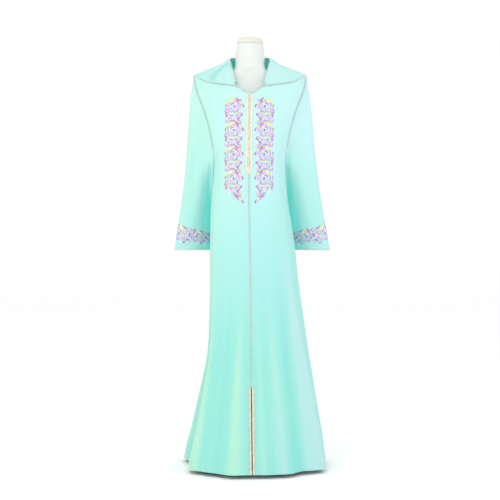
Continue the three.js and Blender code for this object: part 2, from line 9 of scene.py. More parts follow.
import bpy
import numpy as np
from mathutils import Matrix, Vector


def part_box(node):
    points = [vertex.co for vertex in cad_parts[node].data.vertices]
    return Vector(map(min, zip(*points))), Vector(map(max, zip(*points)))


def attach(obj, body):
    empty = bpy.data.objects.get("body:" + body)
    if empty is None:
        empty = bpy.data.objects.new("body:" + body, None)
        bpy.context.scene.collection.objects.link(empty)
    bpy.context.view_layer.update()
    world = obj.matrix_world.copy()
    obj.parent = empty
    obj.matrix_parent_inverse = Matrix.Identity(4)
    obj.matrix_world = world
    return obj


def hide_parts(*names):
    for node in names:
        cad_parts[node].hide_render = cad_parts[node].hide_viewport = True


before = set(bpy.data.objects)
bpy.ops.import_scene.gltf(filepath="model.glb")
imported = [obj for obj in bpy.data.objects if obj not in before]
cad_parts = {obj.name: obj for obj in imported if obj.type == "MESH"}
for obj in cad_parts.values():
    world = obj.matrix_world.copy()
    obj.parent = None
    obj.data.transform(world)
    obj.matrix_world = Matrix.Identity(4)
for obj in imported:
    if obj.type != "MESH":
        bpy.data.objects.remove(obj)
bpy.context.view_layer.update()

MM = 0.001


# ---- Sizes, most of them the CAD model's own ----
def height_of(node, corner):
    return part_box(node)[corner][2] / MM


HEM = height_of("front_left", 0)
SHOULDER = height_of("front_left", 1)
CUFF = height_of("sleeve_left", 0)
PLACKET_END = height_of("placket_tip", 0)
SLIT_TOP = height_of("slit_braid_left", 1)
UNDERARM = 1108
PLACKET_TOP = 1329
NECK_Y = 20
CLOTH = 1.8
SIDES = {"left": 1, "right": -1}


def columns(names, *rows):
    return dict(zip(names.split(), np.array(rows, float).T))


# How far the robe reaches to each side at each height, and the power of its rounded outline.
BODY = columns(
    "z right left front back power",
    (15, 236, 270, 221, 214, 2.15),
    (60, 229, 265, 215, 209, 2.15),
    (130, 212, 256, 206, 200, 2.15),
    (238, 190, 238, 191, 186, 2.15),
    (346, 168, 221, 177, 172, 2.15),
    (418, 156, 209, 168, 163, 2.15),
    (490, 149, 199, 159, 155, 2.15),
    (598, 145, 184, 146, 144, 2.15),
    (706, 144, 170, 134, 134, 2.15),
    (778, 144, 163, 127, 127, 2.2),
    (850, 143, 153, 120, 119, 2.2),
    (922, 141, 141, 114, 109, 2.2),
    (994, 136, 132, 111, 100, 2.2),
    (1060, 129, 128, 112, 96, 2.25),
    (1108, 130, 130, 116, 97, 2.3),
    (1141, 139, 139, 119, 99, 2.3),
    (1215, 159, 159, 115, 102, 2.3),
    (1286, 181, 181, 101, 101, 2.3),
    (1329, 191, 191, 87, 96, 2.3),
    (1361, 196, 196, 74, 89, 2.3),
    (1404, 199, 199, 52, 72, 2.3),
)

# The skirt's hanging folds: ridges at an angle round from the front middle, highest at the hem.
FOLDS = columns(
    "angle width rise top",
    (-57, 13, 10, 540),
    (-84, 12, -34, 520),
    (-118, 15, 30, 600),
    (-14, 10, 9, 700),
    (24, 9, 7, 640),
    (42, 9, -7, 560),
    (62, 12, 20, 820),
    (88, 11, -7, 600),
    (112, 14, 16, 620),
    (146, 13, 18, 700),
    (180, 12, 12, 640),
    (-148, 13, 17, 680),
)

# Softer creases that run from one place on the robe to another. Width is in degrees round the body.
CREASES = columns(
    "angle_low z_low angle_high z_high width rise",
    (-14, 15, -11, 760, 4.2, 3.6),
    (-30, 15, -26, 820, 6.0, -3.6),
    (-44, 15, -40, 860, 5.0, -2.4),
    (-57, 15, -61, 1060, 5.0, 4.6),
    (-68, 15, -70, 900, 4.5, -3.4),
    (-76, 250, -58, 1080, 6.0, 2.5),
    (12, 15, 9, 820, 3.0, 2.4),
    (19, 15, 13, 600, 3.0, -2.4),
    (31, 15, 21, 930, 3.6, 3.0),
    (44, 15, 38, 860, 5.5, -4.2),
    (60, 15, 52, 1080, 5.5, 4.2),
    (73, 15, 66, 660, 4.0, -2.4),
    (100, 15, 96, 820, 5.0, 4.0),
    (128, 15, 118, 900, 5.5, -5.0),
    (139, 15, 136, 1000, 4.0, 4.4),
    (163, 15, 160, 760, 5.0, -4.6),
    (-101, 15, -98, 700, 5.0, -4.0),
    (-131, 15, -126, 940, 5.0, -5.0),
    (-139, 200, -141, 1060, 4.4, 4.0),
    (-165, 15, -161, 820, 5.0, 4.4),
    (-52, 1010, -38, 1230, 5.0, 1.8),
    (50, 1000, 37, 1240, 5.0, 1.8),
    (-64, 960, -40, 1120, 4.0, -1.6),
    (63, 950, 42, 1110, 4.0, -1.6),
)

ARMHOLE = columns(
    "z angle",
    (1108, 90),
    (1124, 74),
    (1141, 68),
    (1215, 63),
    (1286, 65),
    (1329, 72),
    (1361, 79),
    (1404, 90),
)
FRONT_NECKLINE = columns(
    "x z",
    (0, 1332),
    (13, 1334),
    (26, 1344),
    (42, 1355),
    (80, 1363),
    (120, 1369),
    (155, 1377),
    (177, 1389),
    (199, 1404),
)
BACK_NECKLINE = columns("x z", (0, 1378), (80, 1381), (150, 1387), (185, 1395), (199, 1404))
CENTRE = columns("z x", (15, 8), (309, 4.5), (700, 1.5), (1047, -4), (1332, -1))

# The laid-back hood's free rim and low fold, by the angle round the neck.
HOOD_RIM = columns(
    "angle reach z roll",
    (30, 99, 1377, 20),
    (45, 81, 1406, 16),
    (69, 73, 1440, 12),
    (94, 73, 1463, 8),
    (130, 80, 1475, 14),
    (180, 86, 1482, 42),
)
HOOD_FOLD = columns(
    "angle reach z hang",
    (84.3, 199, 1407, 0.2),
    (92, 200, 1404, 0.2),
    (104, 193, 1380, 0.3),
    (120, 177, 1328, 0.5),
    (138, 152, 1262, 0.6),
    (158, 138, 1198, 0.6),
    (180, 134, 1160, 0.6),
)
CUFFS = {
    "left": {"outer": (287, 32), "inner": (152, 98), "depth": 37, "tuck": 9},
    "right": {"outer": (-272, 36), "inner": (-143, 98), "depth": 37, "tuck": -5},
}
FORM = columns(
    "z width front back",
    (832, 126, 84, 96),
    (900, 131, 88, 101),
    (980, 120, 84, 88),
    (1060, 106, 82, 74),
    (1120, 112, 92, 76),
    (1180, 120, 103, 82),
    (1240, 130, 95, 87),
    (1300, 150, 78, 86),
    (1345, 164, 58, 78),
    (1375, 150, 42, 70),
    (1400, 104, 33, 66),
    (1418, 70, 32, 70),
    (1430, 57, 34, 74),
)


# ---- Reading the tables ----
def sample(table, key, at, column):
    """A smooth value of one column where another has the value asked for, as the CAD model reads it."""
    keys, values = table[key], table[column]
    slopes = np.empty_like(values)
    slopes[1:-1] = (values[2:] - values[:-2]) / (keys[2:] - keys[:-2])
    slopes[0] = (values[1] - values[0]) / (keys[1] - keys[0])
    slopes[-1] = (values[-1] - values[-2]) / (keys[-1] - keys[-2])
    i = np.searchsorted(keys[1:-1], at)
    step = keys[i + 1] - keys[i]
    t = np.clip((at - keys[i]) / step, 0, 1)
    t2, t3 = t * t, t * t * t
    return (
        (2 * t3 - 3 * t2 + 1) * values[i]
        + (t3 - 2 * t2 + t) * step * slopes[i]
        + (3 * t2 - 2 * t3) * values[i + 1]
        + (t3 - t2) * step * slopes[i + 1]
    )


def rows_of(table):
    return [dict(zip(table, values)) for values in zip(*table.values())]


def smoothstep(low, high, at):
    t = np.clip((at - low) / (high - low), 0, 1)
    return t * t * (3 - 2 * t)


def turned_by(angle):
    return (angle + 180) % 360 - 180


def bell(offset, width):
    return np.exp(-((offset / width) ** 2))


def points(x, y, z):
    return np.stack(np.broadcast_arrays(x, y, z), axis=-1).astype(float)


def unit(vectors):
    return vectors / np.maximum(np.linalg.norm(vectors, axis=-1, keepdims=True), 1e-9)


# ---- The robe's main surface ----
FOLD_FADE = 1.3
CREASE_BEND = 1.2
FOLD_SHARE = 0.35  # how much a hanging fold counts beside a crease in the painted highlight on ridges and painted shade in hollows
RIDGE_HEIGHT = 5
NEARBY_ANGLE = 0.6
NEARBY_HEIGHT = 3
SEARCH_STEPS = 12


def signed_power(value, power):
    return np.sign(value) * np.abs(value) ** power


def fold_rise(angle, z):
    rise = 0
    for fold in rows_of(FOLDS):
        fade = np.clip((fold["top"] - z) / (fold["top"] - HEM), 0, 1) ** FOLD_FADE
        rise = rise + fold["rise"] * fade * bell(turned_by(angle - fold["angle"]), fold["width"])
    return rise


def crease_rise(angle, z):
    rise = 0
    for crease in rows_of(CREASES):
        t = (z - crease["z_low"]) / (crease["z_high"] - crease["z_low"])
        lean = np.clip(t, 0, None) ** CREASE_BEND
        middle = crease["angle_low"] + (crease["angle_high"] - crease["angle_low"]) * lean
        ends = 1 if crease["z_low"] <= HEM + 1 else smoothstep(0, 0.3, t)
        fade = ends * (1 - smoothstep(0.35, 1, t))
        rise = rise + crease["rise"] * fade * bell(turned_by(angle - middle), crease["width"])
    return rise


def body_point(angle, z):
    """The outside of the robe's body at an angle round from the front middle, at a height."""
    angle, z = np.broadcast_arrays(np.asarray(angle, float), np.asarray(z, float))
    sine, cosine = np.sin(np.radians(angle)), np.cos(np.radians(angle))
    share = 2 / sample(BODY, "z", z, "power")
    width = np.where(sine > 0, sample(BODY, "z", z, "left"), sample(BODY, "z", z, "right"))
    depth = np.where(cosine > 0, sample(BODY, "z", z, "front"), sample(BODY, "z", z, "back"))
    x, y = width * signed_power(sine, share), -depth * signed_power(cosine, share)
    grown = 1 + (fold_rise(angle, z) + crease_rise(angle, z)) / np.hypot(x, y)
    return points(x * grown, y * grown, z)


def ridge_of(grid):
    """How far each point of the body's surface stands on a fold's ridge (to 1) or in its hollow (to -1),
    which sets the crepe's painted highlight and painted shade.
    """
    angle = np.degrees(np.arctan2(grid[..., 0], -grid[..., 1]))
    z = grid[..., 2]
    return np.clip((FOLD_SHARE * fold_rise(angle, z) + crease_rise(angle, z)) / RIDGE_HEIGHT, -1, 1)


def out_of_body(angle, z):
    across = body_point(angle + NEARBY_ANGLE, z) - body_point(angle - NEARBY_ANGLE, z)
    up = body_point(angle, z + NEARBY_HEIGHT) - body_point(angle, z - NEARBY_HEIGHT)
    return unit(np.cross(across, up))


def angle_at_front(x, z):
    width = np.where(x > 0, sample(BODY, "z", z, "left"), sample(BODY, "z", z, "right"))
    share = 2 / sample(BODY, "z", z, "power")
    return np.degrees(np.arcsin(signed_power(np.clip(x / width, -1, 1), 1 / share)))


def side_angle(z):
    return np.where(z <= UNDERARM, 90.0, sample(ARMHOLE, "z", z, "angle"))


def centre_x(z):
    return sample(CENTRE, "z", z, "x")


def panel(share, row_share, start, end, neckline):
    """A grid of a panel whose columns run between two angles and whose top edge is a neckline."""

    def at(z):
        return body_point(start(z) + (end(z) - start(z)) * share, z)

    top = np.full_like(share, SHOULDER)
    for _ in range(SEARCH_STEPS):
        top = (top + sample(neckline, "x", np.abs(at(top)[..., 0]), "z")) / 2
    return at(HEM + (top - HEM) * row_share)


def grid_of(rows, wide):
    return np.meshgrid(np.linspace(0, 1, wide), np.linspace(0, 1, rows))


SEAM = 0.15  # half a seam's gap, in millimetres at the front and in degrees at the sides
SLIT_GAP = 3


def front_grid(side, rows=190, wide=66):
    share, row_share = grid_of(rows, wide)

    def middle(z):
        half = np.where(z < SLIT_TOP, SLIT_GAP / 2, SEAM)
        return angle_at_front(centre_x(z) + side * half, z)

    def edge(z):
        return side * (side_angle(z) - SEAM)

    return panel(share, row_share, middle, edge, FRONT_NECKLINE)


def back_grid(rows=150, wide=130):
    share, row_share = grid_of(rows, wide)
    return panel(
        share,
        row_share,
        lambda z: 180 - side_angle(z) + SEAM,
        lambda z: 180 + side_angle(z) - SEAM,
        BACK_NECKLINE,
    )


# ---- Sleeves ----
CAP_SWELL = 95
HANG_IN = 8
HIP_PASS = 34
SLEEVE_TOP = 0.0016  # the share of a sleeve's length that its seam's gap takes

# Creases along a sleeve: where they start and end as a turn round it (0 outside, 90 in front, 180 inside)
# and as a share of its length from the shoulder.
SLEEVE_CREASES = columns(
    "turn_high share_high turn_low share_low width rise",
    (186, -0.06, 192, 0.62, 20, 6.5),
    (150, 0.10, 84, 0.46, 17, 5.0),
    (160, 0.14, 118, 0.62, 15, -4.5),
    (172, 0.16, 142, 0.80, 13, 4.5),
    (96, 0.30, 60, 0.98, 16, 3.6),
    (70, 0.22, 34, 0.70, 18, -3.6),
    (40, 0.10, 14, 0.92, 17, 3.0),
    (120, 0.55, 100, 1.25, 15, -4.2),
    (215, 0.14, 236, 0.75, 16, 5.0),
    (224, 0.20, 232, 0.90, 13, -3.4),
    (262, 0.20, 270, 1.2, 17, 3.6),
    (300, 0.15, 306, 0.80, 18, -3.6),
    (335, 0.25, 330, 1.1, 17, 3.0),
)

# Painted shade where a sleeve turns in towards the waist: how deep it goes, -1 being as deep as in a crease.
SLEEVE_SHADE = {"left": -1, "right": 0}
SHADE_TURN = 152
SHADE_WIDTH = 32


def armhole_edge(side, turn):
    """The armhole's edge, from the shoulder (0) down the front to the underarm (180) and up the back."""
    z = UNDERARM + (SHOULDER - UNDERARM) * np.abs(1 - turn / 180)
    angle = np.where(turn <= 180, side_angle(z), 180 - side_angle(z))
    return body_point(side * angle, z)


def cuff_edge(word, turn):
    cuff, side = CUFFS[word], SIDES[word]
    outer, inner = np.array(cuff["outer"]), np.array(cuff["inner"])
    axis = (inner - outer) / 2
    ahead = -side * cuff["depth"] * unit(np.array([axis[1], -axis[0]]))
    turn = np.radians(turn)[..., None]
    place = (outer + inner) / 2 - axis * np.cos(turn) + ahead * np.sin(turn)
    return np.concatenate([place, np.full(place.shape[:-1] + (1,), CUFF)], axis=-1)


def sleeve_grid(word, rows=150, around=108):
    """A closed grid from the armhole (row 0) to the open end, and the turn and share of each point."""
    side = SIDES[word]
    turn, share = np.meshgrid(np.arange(around) * 360 / around, np.linspace(SLEEVE_TOP, 1, rows))
    place = armhole_edge(side, turn) * (1 - share[..., None]) + cuff_edge(word, turn) * share[..., None]
    outer = (1 + np.cos(np.radians(turn))) / 2
    hang = np.sin(np.pi * share)
    swell = CAP_SWELL * share * (1 - share) ** 4
    place[..., 0] += side * (
        swell * outer - HANG_IN * hang * outer - CUFFS[word]["tuck"] * hang**2 * (1 - outer)
    )
    place[..., 1] += HIP_PASS * hang * (1 - outer)
    out = grid_normals(place, closed=True, away_from=middle_of(place))
    rise = 0
    for crease in rows_of(SLEEVE_CREASES):
        t = (share - crease["share_high"]) / (crease["share_low"] - crease["share_high"])
        middle = crease["turn_high"] + (crease["turn_low"] - crease["turn_high"]) * np.clip(t, 0, 1.2)
        fade = smoothstep(0, 0.3, t) * (1 - smoothstep(0.55, 1, t))
        rise = rise + crease["rise"] * fade * bell(turned_by(turn - middle), crease["width"])
    return place + out * rise[..., None], turn, share


def grid_normals(grid, closed, away_from):
    """The way out of a grid at each point: across by up, turned to point away from a place."""
    if closed:
        across = np.roll(grid, -1, axis=1) - np.roll(grid, 1, axis=1)
    else:
        across = np.gradient(grid, axis=1)
    out = unit(np.cross(across, np.gradient(grid, axis=0)))
    if (out * (grid - away_from)).sum() < 0:
        out = -out
    return out


# ---- Hood ----
HOOD_CORNER = 30
HOOD_TIP_ANGLE = 84.3
HOOD_SEAM_LIFT = 2.7
HOOD_SWELL = 3
HOOD_SEAM = 0.3
HOOD_INSIDE = np.array([0, NECK_Y, 1330])
HOOD_PULL = 0.25  # how far the low edge's curve is pulled to the rim in front
FRONT_ENDS = (84, 110)
ROLL_ENDS = (84, 140)
CREASES_END = (168, 179)
UNDER_START = 110
UNDER_INSET = 12
UNDER_BOW = 18
UNDER_STANDOFF = 3.4

# Soft folds of the hood: where each crosses it, at its rim and at its low edge.
HOOD_CREASES = columns(
    "side rim_angle low_angle width rise",
    (-1, 72, 51, 5, 6.5),
    (-1, 82, 60, 5, -4.5),
    (1, 84, 74, 6, 2.5),
    (1, 112, 124, 9, 5.0),
    (-1, 118, 130, 9, 5.0),
    (1, 136, 150, 8, -4.0),
    (-1, 142, 155, 8, -4.0),
    (1, 158, 166, 7, 4.0),
    (-1, 162, 168, 7, 3.0),
)


def around_neck(side, angle, reach, z):
    turn = np.radians(angle)
    return points(side * reach * np.sin(turn), NECK_Y - reach * np.cos(turn), z)


def seam_at(side, angle, edge):
    """The point of a sewn edge that lies in a direction round the neck."""
    along = edge(side)
    direction = np.degrees(np.arctan2(side * along[:, 0], NECK_Y - along[:, 1]))
    order = np.argsort(direction)
    return np.stack([np.interp(angle, direction[order], along[order, k]) for k in range(3)], axis=-1)


def front_edge(side):
    x = np.linspace(0, 199, 400)
    z = sample(FRONT_NECKLINE, "x", x, "z")
    return body_point(angle_at_front(side * np.minimum(x, sample(BODY, "z", z, "left")), z), z)


def back_edge(side):
    turn = np.linspace(90, 180, 300)
    top = np.full_like(turn, SHOULDER)
    for _ in range(SEARCH_STEPS):
        top = (top + sample(BACK_NECKLINE, "x", np.abs(body_point(turn, top)[..., 0]), "z")) / 2
    return body_point(side * turn, top)


def edge_round_neck(table, side, angle):
    reach, z = (sample(table, "angle", angle, column) for column in ("reach", "z"))
    return around_neck(side, angle, reach, z)


def hood_surface(side, angle, share):
    """The hood's outer layer from its low edge (share 0) to its rim (share 1)."""
    rim = edge_round_neck(HOOD_RIM, side, angle)
    front = seam_at(side, angle, front_edge) + (0, 0, HOOD_SEAM_LIFT)
    fold = edge_round_neck(HOOD_FOLD, side, angle)
    low = np.where((angle > HOOD_TIP_ANGLE)[..., None], fold, front)
    out = around_neck(side, angle, 1, 0) - (0, NECK_Y, 0)
    hang = sample(HOOD_FOLD, "angle", np.maximum(angle, HOOD_TIP_ANGLE), "hang")
    roll = sample(HOOD_RIM, "angle", angle, "roll")
    near_rim = rim + out * roll[..., None]
    near_low = low + (rim - low) * (HOOD_PULL * (1 - smoothstep(*FRONT_ENDS, angle)))[..., None]
    near_rim[..., 2] += HOOD_SWELL - 0.6 * roll * (1 - smoothstep(*ROLL_ENDS, angle))
    near_low[..., 2] = np.maximum(near_low[..., 2], low[..., 2] + hang * (rim - low)[..., 2]) + HOOD_SWELL
    t = share[..., None]
    return (1 - t) ** 3 * low + 3 * t * (1 - t) ** 2 * near_low + 3 * t**2 * (1 - t) * near_rim + t**3 * rim


def hood_grid(word, rows=56, wide=120):
    """One half of the hood, and how deep each point lies in a crease of it, which the crepe paints as shade.
    """
    side = SIDES[word]
    t, share = grid_of(rows, wide)
    angle = HOOD_CORNER + (180 - HOOD_SEAM - HOOD_CORNER) * t
    grid = hood_surface(side, angle, share)
    out = grid_normals(grid, closed=False, away_from=HOOD_INSIDE)
    rise = 0
    for crease in rows_of(HOOD_CREASES):
        if crease["side"] == side:
            middle = crease["low_angle"] + (crease["rim_angle"] - crease["low_angle"]) * share
            fade = smoothstep(0, 0.25, share) * (1 - smoothstep(0.8, 1, share))
            rise = rise + crease["rise"] * fade * bell(angle - middle, crease["width"])
    rise = rise * (1 - smoothstep(*CREASES_END, angle))
    return grid + out * np.asarray(rise)[..., None], np.minimum(rise / RIDGE_HEIGHT, 0)


def under_grid(rows=24, wide=80):
    t, share = grid_of(rows, wide)
    angle = UNDER_START + (360 - 2 * UNDER_START) * t
    side = np.where(angle < 180, 1, -1)
    turned = np.where(angle < 180, angle, 360 - angle)
    reach = sample(HOOD_FOLD, "angle", turned, "reach") - UNDER_INSET
    low = around_neck(side, turned, reach, sample(HOOD_FOLD, "angle", turned, "z") + 2)
    high = np.where(
        (side > 0)[..., None], seam_at(1, turned, back_edge), seam_at(-1, turned, back_edge)
    ) + (0, 0, HOOD_SEAM_LIFT)
    out = around_neck(side, turned, 1, 0) - (0, NECK_Y, 0)
    bow = UNDER_BOW * smoothstep(UNDER_START - 15, 140, turned)
    away = bow * np.sin(np.pi * share) + UNDER_STANDOFF * share
    return low + (high - low) * share[..., None] + out * away[..., None]


# ---- Meshes ----
def new_object(name, vertices, faces, uv=None, material=None):
    """A smooth mesh object from points in millimetres, with a uv of its own for each point."""
    mesh = bpy.data.meshes.new(name)
    mesh.from_pydata((np.asarray(vertices) * MM).tolist(), [], faces)
    if uv is not None:
        layer = mesh.uv_layers.new(name="cloth")
        corner = np.empty(len(mesh.loops), int)
        mesh.loops.foreach_get("vertex_index", corner)
        layer.data.foreach_set("uv", (np.asarray(uv)[corner] * MM).astype(np.float32).ravel())
    mesh.polygons.foreach_set("use_smooth", [True] * len(mesh.polygons))
    if material:
        mesh.materials.append(material)
    obj = bpy.data.objects.new(name, mesh)
    bpy.context.scene.collection.objects.link(obj)
    return obj


def grid_faces(rows, wide, closed=False, flip=False):
    faces = []
    for r in range(rows - 1):
        for k in range(wide if closed else wide - 1):
            n = (k + 1) % wide
            quad = [r * wide + k, r * wide + n, (r + 1) * wide + n, (r + 1) * wide + k]
            faces.append(quad[::-1] if flip else quad)
    return faces


def arc_lengths(grid, axis):
    """How far each point of a grid, or of a path, is along it from its first one."""
    steps = np.linalg.norm(np.diff(grid, axis=axis), axis=-1)
    start = np.zeros_like(steps.take([0], axis=axis))
    return np.concatenate([start, np.cumsum(steps, axis=axis)], axis=axis)


def middle_of(grid):
    """The middle of each row of a closed grid."""
    return grid.mean(axis=1, keepdims=True)


def cloth(name, grid, away_from, closed=False, ridge=0):
    """A wall of cloth whose outside is the grid. Ridge sets each point's painted highlight (above 0) and
    painted shade (below 0), mostly by how far it stands on a fold.
    """
    rows, wide = grid.shape[:2]
    across = np.roll(grid, -1, axis=1) - grid if closed else np.gradient(grid, axis=1)
    facing = (np.cross(across, np.gradient(grid, axis=0)) * (grid - away_from)).sum()
    uv = np.stack([arc_lengths(grid, 1), arc_lengths(grid, 0)], axis=-1).reshape(-1, 2)
    obj = new_object(name, grid.reshape(-1, 3), grid_faces(rows, wide, closed, flip=facing < 0), uv, CREPE)
    mesh = obj.data
    layer = mesh.attributes.new("ridge", "FLOAT", "POINT")
    layer.data.foreach_set("value", np.broadcast_to(ridge, grid.shape[:2]).astype(np.float32).ravel())
    count = np.zeros(len(mesh.edges), int)
    for polygon in mesh.polygons:
        for corner in polygon.loop_indices:
            count[mesh.loops[corner].edge_index] += 1
    sharp = mesh.attributes.new("sharp_edge", "BOOLEAN", "EDGE")
    sharp.data.foreach_set("value", count == 1)
    wall = obj.modifiers.new("wall", "SOLIDIFY")
    wall.thickness = CLOTH * MM
    wall.offset = -1
    return obj


class Strands:
    """Many small closed sweeps gathered into one mesh: stitches, cords and the grains of a braid."""

    def __init__(self):
        self.vertices, self.faces, self.uv, self.count = [], [], [], 0

    def add(self, path, out, width, height, section, lift=0.0, closed=False):
        """Sweeps a section of (across, out) points along a path, scaled at each point of the path."""
        path, out = np.asarray(path, float), unit(np.asarray(out, float))
        n, m = len(path), len(section)
        ahead = np.roll(path, -1, 0) - np.roll(path, 1, 0) if closed else np.gradient(path, axis=0)
        ahead = unit(ahead)
        across = unit(np.cross(ahead, out))
        out = unit(np.cross(across, ahead))
        section = np.asarray(section, float)
        width, height, lift = (np.broadcast_to(np.asarray(v, float), n) for v in (width, height, lift))
        rings = (
            path[:, None]
            + across[:, None] * (width[:, None] * section[:, 0])[..., None]
            + out[:, None] * (height[:, None] * section[:, 1] + lift[:, None])[..., None]
        )
        along = arc_lengths(path, 0)
        around = np.arange(m) / m
        self.uv.append(np.stack(np.broadcast_arrays(along[:, None], around[None] * 6), -1).reshape(-1, 2))
        self.vertices.append(rings.reshape(-1, 3))
        base = self.count
        for r in range(n if closed else n - 1):
            low, high = base + r * m, base + (r + 1) % n * m
            for k in range(m):
                j = (k + 1) % m
                self.faces.append([low + k, low + j, high + j, high + k])
        if not closed:
            self.faces.append([base + k for k in reversed(range(m))])
            self.faces.append([base + (n - 1) * m + k for k in range(m)])
        self.count += n * m

    def object(self, name, material):
        return new_object(name, np.concatenate(self.vertices), self.faces, np.concatenate(self.uv), material)


def ring(sides):
    turn = np.arange(sides) * 2 * np.pi / sides
    return np.stack([np.cos(turn), np.sin(turn)], axis=1)


# A low mound: a flat underside just below the cloth's face, and a rounded top.
MOUND = np.array([(-1, -0.25), (1, -0.25), (0.82, 0.55), (0.38, 0.92), (-0.38, 0.92), (-0.82, 0.55)])


# ---- Materials ----
def srgb(*rgb):
    return tuple(((c / 255 + 0.055) / 1.055) ** 2.4 if c > 10 else c / 255 / 12.92 for c in rgb) + (1,)


class Nodes:
    """A material's node tree, with short ways to add and join nodes."""

    def __init__(self, name):
        self.material = bpy.data.materials.new(name)
        self.material.use_nodes = True
        self.tree = self.material.node_tree
        self.shader = self.tree.nodes["Principled BSDF"]

    def add(self, kind, **values):
        node = self.tree.nodes.new(kind)
        for key, value in values.items():
            if key in node.inputs:
                node.inputs[key].default_value = value
            else:
                setattr(node, key, value)
        return node

    def link(self, start, end):
        self.tree.links.new(start, end)

    def set(self, **values):
        for key, value in values.items():
            self.shader.inputs[key.replace("_", " ")].default_value = value

    def mix(self, factor, first, second):
        node = self.tree.nodes.new("ShaderNodeMix")
        node.data_type = "RGBA"
        for socket, value in ((node.inputs[0], factor), (node.inputs[6], first), (node.inputs[7], second)):
            if isinstance(value, bpy.types.NodeSocket):
                self.link(value, socket)
            else:
                socket.default_value = value
        return node.outputs[2]

    def ramp(self, source, low, high, out_low=0.0, out_high=1.0):
        node = self.add("ShaderNodeMapRange")
        for index, value in enumerate((low, high, out_low, out_high), start=1):
            node.inputs[index].default_value = value
        self.link(source, node.inputs[0])
        return node.outputs[0]

    def noise(self, coordinates, scale, detail=2.0, stretch=(1, 1, 1)):
        mapping = self.add("ShaderNodeMapping")
        mapping.inputs["Scale"].default_value = stretch
        self.link(coordinates, mapping.inputs["Vector"])
        node = self.add("ShaderNodeTexNoise", Scale=scale, Detail=detail)
        self.link(mapping.outputs[0], node.inputs["Vector"])
        return node.outputs["Fac"]

    def wave(self, coordinates, pitch, direction, distortion=0.0):
        """Bands a pitch apart, in metres. Blender's bands repeat each tau / 20 of the scaled length."""
        node = self.add(
            "ShaderNodeTexWave", Scale=math.tau / 20 / pitch, Distortion=distortion, bands_direction=direction
        )
        self.link(coordinates, node.inputs["Vector"])
        return node.outputs["Fac"]

    def bump(self, height, distance, strength=1.0, before=None):
        node = self.add("ShaderNodeBump", Distance=distance, Strength=strength)
        self.link(height, node.inputs["Height"])
        if before:
            self.link(before, node.inputs["Normal"])
        return node.outputs[0]

    def total(self, first, second):
        node = self.add("ShaderNodeMath", operation="ADD")
        self.link(first, node.inputs[0])
        self.link(second, node.inputs[1])
        return node.outputs[0]


# Painted light: the crepe runs from the first colour low down to the second at the shoulders, for the
# brighter light and sheen up high.
AQUA_SHADED_LOW = (0.255, 0.650, 0.610, 1)
AQUA_LIT_HIGH = (0.485, 0.75, 0.75, 1)
AQUA_GREEN = (0.30, 0.69, 0.545, 1)
# Painted shade: the deep teal of occluded hollows, deep creases and the sleeves' inner sides, also the colour
# of their painted glow.
AQUA_PAINTED_HOLLOW = (0.06, 0.75, 0.69, 1)
# Painted shade in the hollows of folds and creases.
AQUA_SHADE = (0.215, 0.62, 0.56, 1)
# Painted highlights on the ridges of folds: greenish on the left, lilac on the right, for coloured side light
# catching them.
GLINT_GREEN = (0.41, 0.72, 0.54, 1)
GLINT_LILAC = (0.42, 0.66, 0.66, 1)


